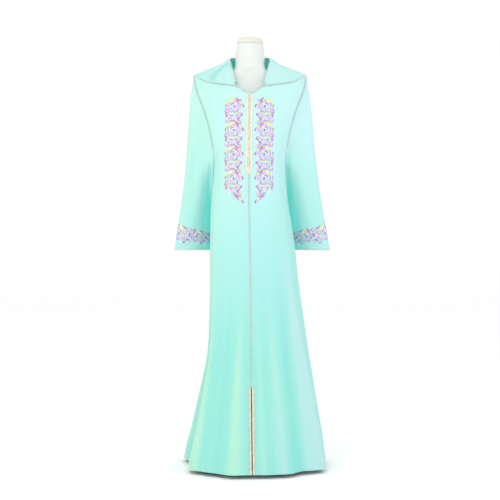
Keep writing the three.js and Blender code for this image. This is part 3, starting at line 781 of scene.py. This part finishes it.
def crepe():
    """Light aqua crepe with a fine pebbled weave and a cloudy green tone of its own.

    Painted light: it is painted paler towards the shoulders for the brighter light and sheen up high, with
    painted coloured highlights on the ridges and painted deep-teal shade in the hollows. A faint painted glow
    in the hollows stands for the light that comes through thin cloth.
    """
    n = Nodes("crepe")
    place = n.add("ShaderNodeTexCoord")
    apart = n.add("ShaderNodeSeparateXYZ")
    n.link(place.outputs["Object"], apart.inputs[0])
    # Painted light: paler with height, standing for the light and sheen that fall strongest on the shoulders.
    colour = n.mix(n.ramp(apart.outputs["Z"], 0.38, 1.30), AQUA_SHADED_LOW, AQUA_LIT_HIGH)
    cloudy = n.noise(place.outputs["Object"], 2.6, 3.0, stretch=(1.6, 1.6, 0.5))
    colour = n.mix(n.ramp(cloudy, 0.42, 0.75, 0.0, 0.6), colour, AQUA_GREEN)
    ridge = n.add("ShaderNodeAttribute", attribute_name="ridge").outputs["Fac"]
    # Painted highlight: ridges are painted paler, greenish on the left and lilac on the right.
    glint = n.mix(n.ramp(apart.outputs["X"], -0.05, 0.12), GLINT_GREEN, GLINT_LILAC)
    colour = n.mix(n.ramp(ridge, 0.1, 0.9, 0.0, 0.75), colour, glint)
    # Painted shade: hollows of folds and creases are painted deeper, the deepest ones deep teal.
    colour = n.mix(n.ramp(ridge, -0.1, -0.9, 0.0, 0.6), colour, AQUA_SHADE)
    colour = n.mix(n.ramp(ridge, -0.9, -2.0, 0.0, 0.85), colour, AQUA_PAINTED_HOLLOW)
    # Painted shade: where other cloth is near, found by ambient occlusion, the crepe is painted deep teal.
    hollow = n.add("ShaderNodeAmbientOcclusion", Distance=0.12, samples=8)
    colour = n.mix(n.ramp(hollow.outputs["AO"], 0.05, 0.42, 0.9, 0.0), colour, AQUA_PAINTED_HOLLOW)
    n.link(colour, n.shader.inputs["Base Color"])
    # Painted light: a faint glow where occlusion is high and where the painted shade is deepest, standing for
    # light through thin cloth.
    glow = n.total(n.ramp(hollow.outputs["AO"], 0.0, 0.4, 0.3, 0.0), n.ramp(ridge, -0.9, -2.0, 0.0, 0.2))
    n.link(glow, n.shader.inputs["Emission Strength"])
    weave = n.total(
        n.wave(place.outputs["UV"], 0.0009, "X", 1.2), n.wave(place.outputs["UV"], 0.0009, "Y", 1.2)
    )
    pebble = n.noise(place.outputs["UV"], 900, 2.0)
    ripple = n.noise(place.outputs["UV"], 22, 2.0, stretch=(1.5, 0.35, 1))
    normal = n.bump(ripple, 0.0016, 0.5)
    normal = n.bump(pebble, 0.0002, 0.5, before=normal)
    normal = n.bump(weave, 0.00012, 0.5, before=normal)
    n.link(normal, n.shader.inputs["Normal"])
    n.set(Emission_Color=AQUA_PAINTED_HOLLOW, Roughness=0.6, Specular_IOR_Level=0.25)
    n.set(Sheen_Weight=0.2, Sheen_Roughness=0.4)
    return n.material


def thread(name, colour, shade, pitch=0.0006, roughness=0.42):
    """Satin thread: fine stripes across each stitch."""
    n = Nodes(name)
    place = n.add("ShaderNodeTexCoord")
    stripes = n.wave(place.outputs["UV"], pitch, "X", 0.6)
    patchy = n.noise(place.outputs["Object"], 160, 2.0)
    n.link(n.mix(n.ramp(patchy, 0.35, 0.65), colour, shade), n.shader.inputs["Base Color"])
    n.link(n.bump(stripes, 0.00025, 0.7), n.shader.inputs["Normal"])
    n.set(Roughness=roughness, Sheen_Weight=0.3, Specular_IOR_Level=0.5)
    return n.material


def form_cover(name, colour, shade):
    """The dress form's smooth cover, with the finest grain."""
    n = Nodes(name)
    place = n.add("ShaderNodeTexCoord")
    grain = n.noise(place.outputs["Object"], 700, 2.0)
    cloudy = n.noise(place.outputs["Object"], 9, 2.0)
    n.link(n.mix(cloudy, colour, shade), n.shader.inputs["Base Color"])
    n.link(n.bump(grain, 0.0002, 0.35), n.shader.inputs["Normal"])
    n.set(Roughness=0.5, Specular_IOR_Level=0.35)
    return n.material


def powder_coat():
    n = Nodes("powder_coat")
    place = n.add("ShaderNodeTexCoord")
    speckle = n.noise(place.outputs["Object"], 900, 2.0)
    n.link(n.mix(speckle, (0.72, 0.74, 0.74, 1), (0.82, 0.84, 0.84, 1)), n.shader.inputs["Base Color"])
    n.link(n.bump(speckle, 0.0003, 0.4), n.shader.inputs["Normal"])
    n.set(Roughness=0.42, Metallic=0.2)
    return n.material


def plain(name, colour, roughness=0.9):
    n = Nodes(name)
    n.set(Base_Color=colour, Roughness=roughness, Specular_IOR_Level=0.1)
    return n.material


# ---- Putting the cloth together ----
def piece(obj, slot, *nodes):
    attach(obj, "root")
    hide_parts(*nodes)
    return obj


CREPE = crepe()
FORM_COVER = form_cover("form_cover", (0.68, 0.72, 0.695, 1), (0.64, 0.68, 0.655, 1))
FORM_CAP = form_cover("form_cap", (0.67, 0.69, 0.59, 1), (0.63, 0.65, 0.56, 1))
POWDER_COAT = powder_coat()


def upright(grid):
    """The place on the body's upright axis level with each point."""
    return points(np.zeros(grid.shape[:2]), np.zeros(grid.shape[:2]), grid[..., 2])


for word, side in SIDES.items():
    grid = front_grid(side)
    obj = cloth(f"cloth_front_{word}", grid, upright(grid), ridge=ridge_of(grid))
    piece(obj, "crepe", f"front_{word}")

grid = back_grid()
obj = cloth("cloth_back", grid, upright(grid), ridge=ridge_of(grid))
piece(obj, "crepe", "back")

SLEEVES = {}
for word, side in SIDES.items():
    grid, turn, share = sleeve_grid(word)
    SLEEVES[word] = grid
    # Painted shade on the inner front of each sleeve, beside the body.
    along = smoothstep(0.02, 0.2, share) * (1 - smoothstep(0.4, 0.95, share))
    shade = SLEEVE_SHADE[word] * along * bell(turn - SHADE_TURN, SHADE_WIDTH)
    obj = cloth(f"cloth_sleeve_{word}", grid, middle_of(grid), closed=True, ridge=shade)
    piece(obj, "crepe", f"sleeve_{word}")
    # The hood's creases get painted shade from their depth.
    grid, crease = hood_grid(word)
    obj = cloth(f"cloth_hood_{word}", grid, HOOD_INSIDE, ridge=crease)
    piece(obj, "crepe", f"hood_{word}")

obj = cloth("cloth_hood_under", under_grid(), HOOD_INSIDE)
piece(obj, "crepe", "hood_under")

# ---- Trims ----
CORD_SECTION = ring(6)
ACROSS = np.linspace(-1, 1, 9)


def front_path(top, bottom, beside, step=1.0):
    """A path down the front at a distance from the middle seam, and the way out of the cloth."""
    z = np.arange(top, bottom, -step)
    angle = angle_at_front(centre_x(z) + beside(z), z)
    return body_point(angle, z), out_of_body(angle, z)


def on_seam(z):
    return np.zeros_like(z)


def bar_across(z, half):
    """A short level path across the middle seam, and the way out of the cloth."""
    level = np.full_like(ACROSS, z)
    angle = angle_at_front(centre_x(level) + ACROSS * half, level)
    return body_point(angle, level), out_of_body(angle, level)


def evenly(path, out, step, closed=False):
    """A path and its way out, sampled again at even steps."""
    if closed:
        path, out = np.concatenate([path, path[:1]]), np.concatenate([out, out[:1]])
    along = arc_lengths(path, 0)
    places = np.linspace(0, along[-1], max(3, round(along[-1] / step)), endpoint=not closed)

    def at_places(values):
        return np.stack([np.interp(places, along, values[:, k]) for k in range(3)], axis=-1)

    return at_places(path), at_places(out)


def plait(strands, path, out, width, height, pitch, lift, count=3, step=0.9):
    """A flat braid of several cords that cross over and under one another."""
    path, out = evenly(path, out, step)
    ahead = unit(np.gradient(path, axis=0))
    across = unit(np.cross(ahead, out))
    along = np.arange(len(path)) * step
    radius = width / (count + 1.4)
    for k in range(count):
        phase = math.tau * (along / pitch + k / count)
        sway = (width / 2 - radius) * np.sin(phase)
        rise = lift + height / 2 + (height / 2 - 0.3 * radius) * np.sin(2 * phase) * 0.6
        lane = path + across * sway[:, None] + out * rise[:, None]
        strands.add(lane, out, radius, min(radius, height / 2), CORD_SECTION)


STRAND_OUT = 0.45
STRAND_RADIUS = 0.62


def twist(strands, path, out, radius, pitch, lift, closed=False, step=0.9):
    """A round cord of two strands wound about each other."""
    path, out = evenly(path, out, step, closed)
    count = len(path)
    ahead = np.roll(path, -1, 0) - np.roll(path, 1, 0) if closed else np.gradient(path, axis=0)
    across = unit(np.cross(unit(ahead), out))
    turns = max(1, round(count * step / pitch))
    for k in range(2):
        phase = math.tau * (turns * np.arange(count) / count + k / 2)
        lane = path + out * (lift + radius) + STRAND_OUT * radius * (
            across * np.cos(phase)[:, None] + out * np.sin(phase)[:, None]
        )
        thin = STRAND_RADIUS * radius
        strands.add(lane, out, thin, thin, CORD_SECTION, closed=closed)


def sewn_cord(name, material, slot, node, path, out, radius, lift, closed=False):
    cord = Strands()
    twist(cord, path, out, radius, CORD_PITCH, lift, closed)
    piece(cord.object(name, material), slot, node)


BRAID_LIFT = 0.5
BRAID_BESIDE = 7.4
BRAID_WIDTH = 7.6
BRAID_PITCH = 7
BRAID_EDGES = (0.9, BRAID_WIDTH + 0.2)  # where a slit's two edging cords lie, from the slit
TIP_LENGTH = 14
TIP_NARROW = 0.12
KNOT_PITCH = 7.3
KNOT = {"half": 3.6, "radius": 2.9, "height": 1.9, "lift": 2.2}
BAR = {"half": 6.4, "radius": 0.8, "height": 0.8, "lift": 2.6}
BACKING = {"radius": 5.2, "height": 0.5, "lift": 0.3}
POINT = {"half": 1.6, "spread": 0.42, "radius": 1.5, "height": 1.3, "lift": 2.4}
CENTRE_BRAID = {"width": 4.4, "height": 1.6, "pitch": 4.6, "lift": 0.4}
CORD_RADIUS = 1.4
EDGE_CORD_RADIUS = 1.5
CORD_PITCH = 5
UNDERARM_BARE = 6  # columns of a sleeve's grid beside the underarm that its cord doesn't cover

IVORY = thread("ivory_braid", srgb(238, 236, 220), srgb(218, 216, 196))
SAND = thread("sand_braid", srgb(224, 220, 202), srgb(198, 192, 170))
CORD = thread("cord", srgb(214, 208, 200), srgb(192, 186, 178))
MAUVE = thread("mauve_cord", srgb(214, 214, 220), srgb(190, 186, 194))

for word, side in SIDES.items():
    braid = Strands()

    def beside(z):
        spread = smoothstep(0, TIP_LENGTH, z - PLACKET_END)
        return side * BRAID_BESIDE * (TIP_NARROW + (1 - TIP_NARROW) * spread)

    path, out = front_path(PLACKET_TOP, PLACKET_END + 1, beside)
    plait(braid, path, out, BRAID_WIDTH, 2.2, BRAID_PITCH, BRAID_LIFT)
    piece(braid.object(f"placket_plait_{word}", IVORY), "braid", f"placket_braid_{word}")

    braid = Strands()
    path, out = front_path(SLIT_TOP, HEM + 1, lambda z: side * (BRAID_WIDTH / 2 + SLIT_GAP / 2 + 0.3))
    plait(braid, path, out, BRAID_WIDTH, 2.0, BRAID_PITCH, BRAID_LIFT)
    for beyond in BRAID_EDGES:
        path, out = front_path(SLIT_TOP, HEM + 1, lambda z: side * (SLIT_GAP / 2 + beyond))
        twist(braid, path, out, 0.8, 3.2, BRAID_LIFT)
    piece(braid.object(f"slit_plait_{word}", SAND), "braid", f"slit_braid_{word}")

# The column of knots: each is a bead of wound thread with a bar of cord to the braid on either side.
knots = Strands()
swell = np.sqrt(np.clip(1 - ACROSS**2, 0.06, 1))
for z in np.arange(PLACKET_TOP - 4, PLACKET_END + TIP_LENGTH + 2, -KNOT_PITCH):
    path, out = bar_across(z, KNOT["half"])
    knots.add(path, out, KNOT["radius"] * swell, KNOT["height"] * swell, CORD_SECTION, lift=KNOT["lift"])
    path, out = bar_across(z, BAR["half"])
    knots.add(path, out, BAR["radius"], BAR["height"], CORD_SECTION, lift=BAR["lift"])
path, out = front_path(PLACKET_TOP, PLACKET_END + 6, on_seam)
knots.add(path[::4], out[::4], BACKING["radius"], BACKING["height"], MOUND, lift=BACKING["lift"])
piece(knots.object("placket_beads", IVORY), "braid", "placket_knots")

tip = Strands()
for z in np.linspace(PLACKET_END + 9, PLACKET_END + 1, 4):
    path, out = bar_across(z, POINT["half"] + POINT["spread"] * (z - PLACKET_END))
    tip.add(path, out, POINT["radius"], POINT["height"], CORD_SECTION, lift=POINT["lift"])
piece(tip.object("placket_point", IVORY), "braid", "placket_tip")

centre = Strands()
path, out = front_path(PLACKET_END - 1, SLIT_TOP + 1, on_seam)
plait(centre, path, out, **CENTRE_BRAID)
piece(centre.object("centre_plait", CORD), "braid", "centre_braid")

for word, side in SIDES.items():
    grid = SLEEVES[word]
    out = grid_normals(grid, closed=True, away_from=middle_of(grid))
    around = grid.shape[1]
    order = np.arange(-around // 2 + UNDERARM_BARE, around // 2 - UNDERARM_BARE + 1) % around
    turn = order * 360 / around
    edge = armhole_edge(side, turn)
    away = unit(unit(edge * (1, 1, 0)) + out[0, order])
    name, node = f"armhole_cord_{word}", f"armhole_piping_{word}"
    sewn_cord(name, MAUVE, "piping", node, edge, away, CORD_RADIUS, 1.6)

    x = np.linspace(12, 193, 200)
    z = sample(FRONT_NECKLINE, "x", x, "z")
    angle = angle_at_front(side * x, z)
    away = unit(out_of_body(angle, z) + (0, 0, 0.5))
    name, node = f"neck_cord_{word}", f"neck_piping_{word}"
    sewn_cord(name, MAUVE, "piping", node, body_point(angle, z), away, CORD_RADIUS, 1.6)

    angle = np.linspace(HOOD_CORNER + 1, 179.6, 240)
    rim = edge_round_neck(HOOD_RIM, side, angle)
    away = unit(rim - hood_surface(side, angle, np.full_like(angle, 0.9)))
    name, node = f"hood_cord_{word}", f"hood_edge_{word}"
    sewn_cord(name, CORD, "piping", node, rim, away, EDGE_CORD_RADIUS, 0.3)

    turn = np.linspace(0, 360, 240, endpoint=False)
    edge = cuff_edge(word, turn)
    down = np.broadcast_to([0, 0, -1.0], edge.shape)
    name, node = f"cuff_cord_{word}", f"cuff_piping_{word}"
    sewn_cord(name, SAND, "braid", node, edge, down, EDGE_CORD_RADIUS, 0.1, closed=True)

# ---- Embroidery ----
# A free design of blooms and leafy sprays, in satin stitch. One repeat is drawn about the middle of its
# bloom: x away from the robe's middle seam, y up. Angles run anticlockwise from x.
# Columns: colour, x and y of the centre, radius, angles at the start and the end, width.
ARCS = """
lime   0 1 26 2 122 5.0
lime   -2 -1 26 130 160 3.6
mint   0 0 21.5 24 110 2.4
lilac  10 5 10.5 -62 112 4.2
pink   -1 11 10.5 14 184 3.8
lilac  -11 2 10.5 82 256 4.2
purple -5 -10 10.5 154 328 3.6
pink   8 -8 10.5 226 400 4.0
purple 3 5 6.5 -30 150 3.0
pink   -5 0 6.5 96 268 3.0
lilac  3 -5 6.5 214 386 3.2
dark   0 0 3 20 320 2.4
mint   -3 7 5 70 200 1.8
lilac  -19 19 6 60 250 2.4
pink   -24 8 5 90 290 2.2
purple 24 -16 7 200 390 2.4
mint   -21 -17 8 110 260 2.2
lilac  16 29 5 10 200 2.0
purple -23 -29 7 60 300 2.4
pink   22 -33 7 -60 170 2.6
lime   -6 -32 9 30 170 2.8
mint   6 -49 8 -80 110 2.2
lilac  -14 -52 8 120 330 2.6
""".split("\n")
# Columns: colour, x and y of the stalk's end, direction, length, bend, width.
LEAVES = """
pale   9 4 25 10 0 5.4
pale   -1 10 97 10 0 5.0
pale   -10 2 169 10 0 5.4
pale   -5 -9 241 10 0 5.0
pale   7 -7 313 10 0 5.4
dark   -12 16 68 17 4 3.6
purple -18 8 98 19 -4 3.4
pink   -6 14 100 16 3 3.2
pale   -27 -2 250 16 4 5.0
lilac  30 -4 262 18 -4 5.0
purple 29 10 250 12 2 3.2
dark   -31 8 262 12 -2 3.0
lilac  18 -23 205 22 5 5.6
pink   -20 -24 -18 20 -4 5.2
purple -30 -22 282 16 3 4.0
dark   30 -24 250 14 -3 3.6
pale   -2 -29 268 22 3 5.0
pink   10 -31 282 20 -3 4.8
lilac  -12 -31 250 20 4 5.0
purple 20 -38 262 18 -4 4.2
dark   -22 -38 292 15 3 3.4
lime   12 -27 -8 12 2 3.6
lime   -26 -45 -60 12 -2 3.4
mint   -30 -33 -88 10 1 3.0
lilac  28 -44 236 14 3 4.2
purple 2 -44 248 14 -2 3.4
pink   -16 -44 200 13 3 3.8
lilac  -30 -52 20 13 -3 3.6
pink   30 -55 160 14 3 3.8
purple 14 -57 150 15 -3 3.4
dark   -2 -58 190 12 3 3.0
pink   -28 26 -40 10 2 3.0
lilac  6 31 170 12 2 3.0
""".split("\n")
REPEAT = 84
SPRAY_TOP = -16  # in a band, what lies below this is turned to lie beside the bloom
SPRAY_SHIFT = (-2, 0)
COLUMN_MIDDLE = 55
COLUMN_INNER = 22
BLOOM_HEIGHTS = (1285, 1201, 1117, 1033, 949)
COLUMN_OUTER = 89
COLUMN_HEAD = 1319
COLUMN_FOOT = 944
HEAD_SLANT = 0.25
FOOT_SLANT = 0.95
CUFF_REPEATS = 5
CUFF_START = 0.15
CUFF_BAND = (23.5, 68.5)  # heights above a sleeve's open end
STITCH_HEIGHT = 0.9
STITCH_SPREAD = 2.4
STITCH_COLOURS = {
    "lilac": ((206, 176, 220), (190, 156, 208)),
    "pale": ((219, 205, 232), (203, 190, 222)),
    "purple": ((188, 150, 208), (168, 128, 194)),
    "pink": ((226, 172, 216), (212, 150, 200)),
    "raspberry": ((196, 106, 168), (172, 84, 146)),
    "violet": ((158, 122, 186), (134, 102, 168)),
    "slate": ((116, 116, 164), (92, 92, 142)),
    "lime": ((214, 240, 134), (196, 226, 116)),
    "mint": ((228, 250, 240), (206, 240, 226)),
}


def strokes_of(rows, curve):
    """The named colour, the drawn path and the width of every stroke in a table."""
    for row in rows:
        if row.strip():
            colour, *numbers = row.split()
            *shape, width = map(float, numbers)
            yield colour, curve(*shape), width


def arc_curve(x, y, radius, start, end):
    turn = np.radians(np.linspace(start, end, 9 + int(abs(end - start) / 24)))
    return np.stack([x + radius * np.cos(turn), y + radius * np.sin(turn)], axis=1)


def leaf_curve(x, y, direction, length, bend):
    t = np.linspace(0, 1, 9)
    ahead = np.array([math.cos(math.radians(direction)), math.sin(math.radians(direction))])
    aside = np.array([-ahead[1], ahead[0]])
    return np.array([x, y]) + ahead * (length * t)[:, None] + aside * (bend * np.sin(np.pi * t))[:, None]


REPEAT_STROKES = [*strokes_of(ARCS, arc_curve), *strokes_of(LEAVES, leaf_curve)]


def embroider(name, place, repeats, dark, inside):
    """Sews repeats of the design onto cloth. Place turns flat points into points on it and the way out."""
    colours = {}
    for x, y, scale, turned in repeats:
        for colour, path, width in REPEAT_STROKES:
            if turned and path[:, 1].mean() < SPRAY_TOP:
                path = path[:, ::-1] * (-1, 1) + SPRAY_SHIFT
            flat = (x, y) + path * scale
            if not inside(*flat.mean(axis=0)):
                continue
            colour = dark if colour == "dark" else colour
            taper = np.sin(np.pi * np.linspace(0.06, 0.94, len(flat))) ** 0.6
            at, out = place(flat[:, 0], flat[:, 1])
            strands = colours.setdefault(colour, Strands())
            strands.add(at, out, scale * (width + STITCH_SPREAD) / 2 * taper, STITCH_HEIGHT * taper, MOUND)
    for colour, strands in colours.items():
        piece(strands.object(f"{name}_{colour}", STITCHES[colour]), "crepe")


STITCHES = {
    name: thread(f"stitch_{name}", srgb(*light), srgb(*shade), 0.0007, 0.38)
    for name, (light, shade) in STITCH_COLOURS.items()
}


def on_chest(side):
    def place(u, z):
        angle = angle_at_front(centre_x(z) + side * u, z)
        return body_point(angle, z), out_of_body(angle, z)

    return place


def in_column(u, z):
    """The column is cut off slanting at its foot, and a little at its head."""
    across = u - COLUMN_INNER
    return COLUMN_FOOT + FOOT_SLANT * across < z < COLUMN_HEAD - HEAD_SLANT * across and u < COLUMN_OUTER


def on_cuff(word):
    grid = SLEEVES[word]
    normals = grid_normals(grid, closed=True, away_from=middle_of(grid))
    rows, around = grid.shape[:2]
    start = arc_lengths(grid[-1, np.arange(around + 1) % around], 0)
    row_step = np.linalg.norm(grid[-1] - grid[-2], axis=-1).mean()

    def look_up(values, column, row):
        k, r = np.floor(column).astype(int), np.clip(np.floor(row).astype(int), 0, rows - 2)
        s, t = (column - k)[:, None], (row - r)[:, None]
        low = values[r, k % around] * (1 - s) + values[r, (k + 1) % around] * s
        high = values[r + 1, k % around] * (1 - s) + values[r + 1, (k + 1) % around] * s
        return low * (1 - t) + high * t

    def place(u, height):
        column = np.interp(u % start[-1], start, np.arange(around + 1))
        row = rows - 1 - height / row_step
        return look_up(grid, column, row), unit(look_up(normals, column, row))

    return place, start[-1]


for word, side in SIDES.items():
    column = [(COLUMN_MIDDLE, z, 1.0, False) for z in BLOOM_HEIGHTS]
    dark = "raspberry" if side < 0 else "violet"
    embroider(f"column_{word}", on_chest(side), column, dark, in_column)
    place, girth = on_cuff(word)
    length = girth / CUFF_REPEATS
    middle = sum(CUFF_BAND) / 2
    band = [((k + CUFF_START) * length, middle, length / REPEAT, True) for k in range(CUFF_REPEATS)]
    embroider(f"cuff_band_{word}", place, band, "slate", lambda u, z: CUFF_BAND[0] < z < CUFF_BAND[1])

# ---- Dress form and stand ----
FORM_POWER = 2.1
FORM_ROWS, FORM_AROUND = 260, 128
NECK_BLEND = (1412, 1446)  # the heights between which the torso turns into the neck


def closed_ends(rows, wide):
    """Faces that close a tube's first and last rows."""
    last = (rows - 1) * wide
    return [list(range(wide))[::-1], [last + k for k in range(wide)]]


def turned_shape(name, profile, y, material, around=96):
    """A profile of (radius, height) turned round an upright axis."""
    turn = np.linspace(0, 2 * np.pi, around, endpoint=False)
    radius, height = np.array(profile, float).T[:, :, None]
    grid = points(radius * np.sin(turn), y - radius * np.cos(turn), height)
    faces = grid_faces(len(profile), around, closed=True) + closed_ends(len(profile), around)
    obj = new_object(name, grid.reshape(-1, 3), faces, material=material)
    mark = obj.modifiers.new("edges", "BEVEL")
    mark.width = 0.6 * MM
    mark.segments = 2
    mark.limit_method = "ANGLE"
    mark.angle_limit = math.radians(50)
    return obj


def smooth_profile(corners, step=2.0):
    """A profile drawn again as a smooth curve through its corners."""
    corners = np.array(corners, float)
    along = arc_lengths(corners, 0)
    table = {"along": along, "radius": corners[:, 0], "height": corners[:, 1]}
    at = np.linspace(0, along[-1], round(along[-1] / step))
    return np.stack([sample(table, "along", at, "radius"), sample(table, "along", at, "height")], axis=1)


NECK = columns("z radius", (1430, 57), (1444, 53.5), (1470, 52.5), (1500, 49.5), (1516, 47.4), (1519, 46.4))
z = np.linspace(FORM["z"][0], NECK["z"][-1], FORM_ROWS)
turn = np.linspace(0, 2 * np.pi, FORM_AROUND, endpoint=False)
z, turn = np.meshgrid(z, turn, indexing="ij")
level = np.minimum(z, FORM["z"][-1])
share = 2 / FORM_POWER
depth = np.where(np.cos(turn) > 0, sample(FORM, "z", level, "front"), sample(FORM, "z", level, "back"))
torso = points(
    sample(FORM, "z", level, "width") * signed_power(np.sin(turn), share),
    -depth * signed_power(np.cos(turn), share),
    z,
)
radius = sample(NECK, "z", np.maximum(z, NECK["z"][0]), "radius")
neck = points(radius * np.sin(turn), NECK_Y - radius * np.cos(turn), z)
blend = smoothstep(*NECK_BLEND, z)[..., None]
grid = torso * (1 - blend) + neck * blend
faces = grid_faces(FORM_ROWS, FORM_AROUND, closed=True) + closed_ends(FORM_ROWS, FORM_AROUND)
obj = new_object("form_body", grid.reshape(-1, 3), faces, material=FORM_COVER)
piece(obj, "form", "form_torso", "form_neck")

CAP = [(46.5, 1519.7), (46, 1527), (43.5, 1534), (38, 1538.6), (22, 1540.3), (2, 1541)]
obj = turned_shape("form_top", smooth_profile(CAP), NECK_Y, FORM_CAP)
piece(obj, "form", "form_neck_cap")
piece(turned_shape("pole", [(12.5, 12.3), (12.5, 831.5)], 0, POWDER_COAT, 48), "steel", "stand_pole")
plate = [(149.6, 0.2), (150, 7), (146, 10), (40, 12), (13, 12)]
piece(turned_shape("plate", plate, 0, POWDER_COAT), "steel", "stand_plate")

# ---- Camera, light and floor ----
camera = bpy.data.objects.new("camera", bpy.data.cameras.new("camera"))
camera.data.lens = 85
camera.data.sensor_width = 36
camera.location = (0, -4.24, 0.90)
camera.rotation_euler = (Vector((0, 0, 0.78)) - camera.location).to_track_quat("-Z", "Y").to_euler()
bpy.context.scene.collection.objects.link(camera)
bpy.context.scene.camera = camera
bpy.context.scene.view_settings.view_transform = "Standard"


def area_light(name, place, aim, size, power, colour=(1, 1, 1)):
    light = bpy.data.objects.new(name, bpy.data.lights.new(name, "AREA"))
    light.data.size = size
    light.data.energy = power
    light.data.color = colour
    light.location = place
    light.rotation_euler = (Vector(aim) - light.location).to_track_quat("-Z", "Y").to_euler()
    bpy.context.scene.collection.objects.link(light)


area_light("key", (-1.2, -2.9, 2.9), (0, 0, 1.15), 1.6, 27)
area_light("front", (1.1, -3.8, 1.2), (0.1, 0, 1.0), 1.2, 11, (0.94, 0.98, 1.0))
area_light("left", (-2.6, -1.2, 0.7), (0, 0, 0.45), 1.8, 13, (1.0, 0.88, 0.42))
area_light("right", (2.7, -1.0, 0.8), (0, 0, 0.5), 1.8, 13, (1.0, 0.82, 0.95))

world = bpy.data.worlds.new("studio")
world.use_nodes = True
world.node_tree.nodes["Background"].inputs["Color"].default_value = (1, 1, 1, 1)
world.node_tree.nodes["Background"].inputs["Strength"].default_value = 1.0
bpy.context.scene.world = world

FLOOR_HALF = 9.0
corners = [(x * FLOOR_HALF, y * FLOOR_HALF, 0) for x, y in ((-1, -1), (1, -1), (1, 1), (-1, 1))]
floor_mesh = bpy.data.meshes.new("floor")
floor_mesh.from_pydata(corners, [], [(0, 1, 2, 3)])
floor_mesh.materials.append(plain("pale_floor", (0.985, 0.985, 0.985, 1)))
floor = bpy.data.objects.new("floor", floor_mesh)
bpy.context.scene.collection.objects.link(floor)
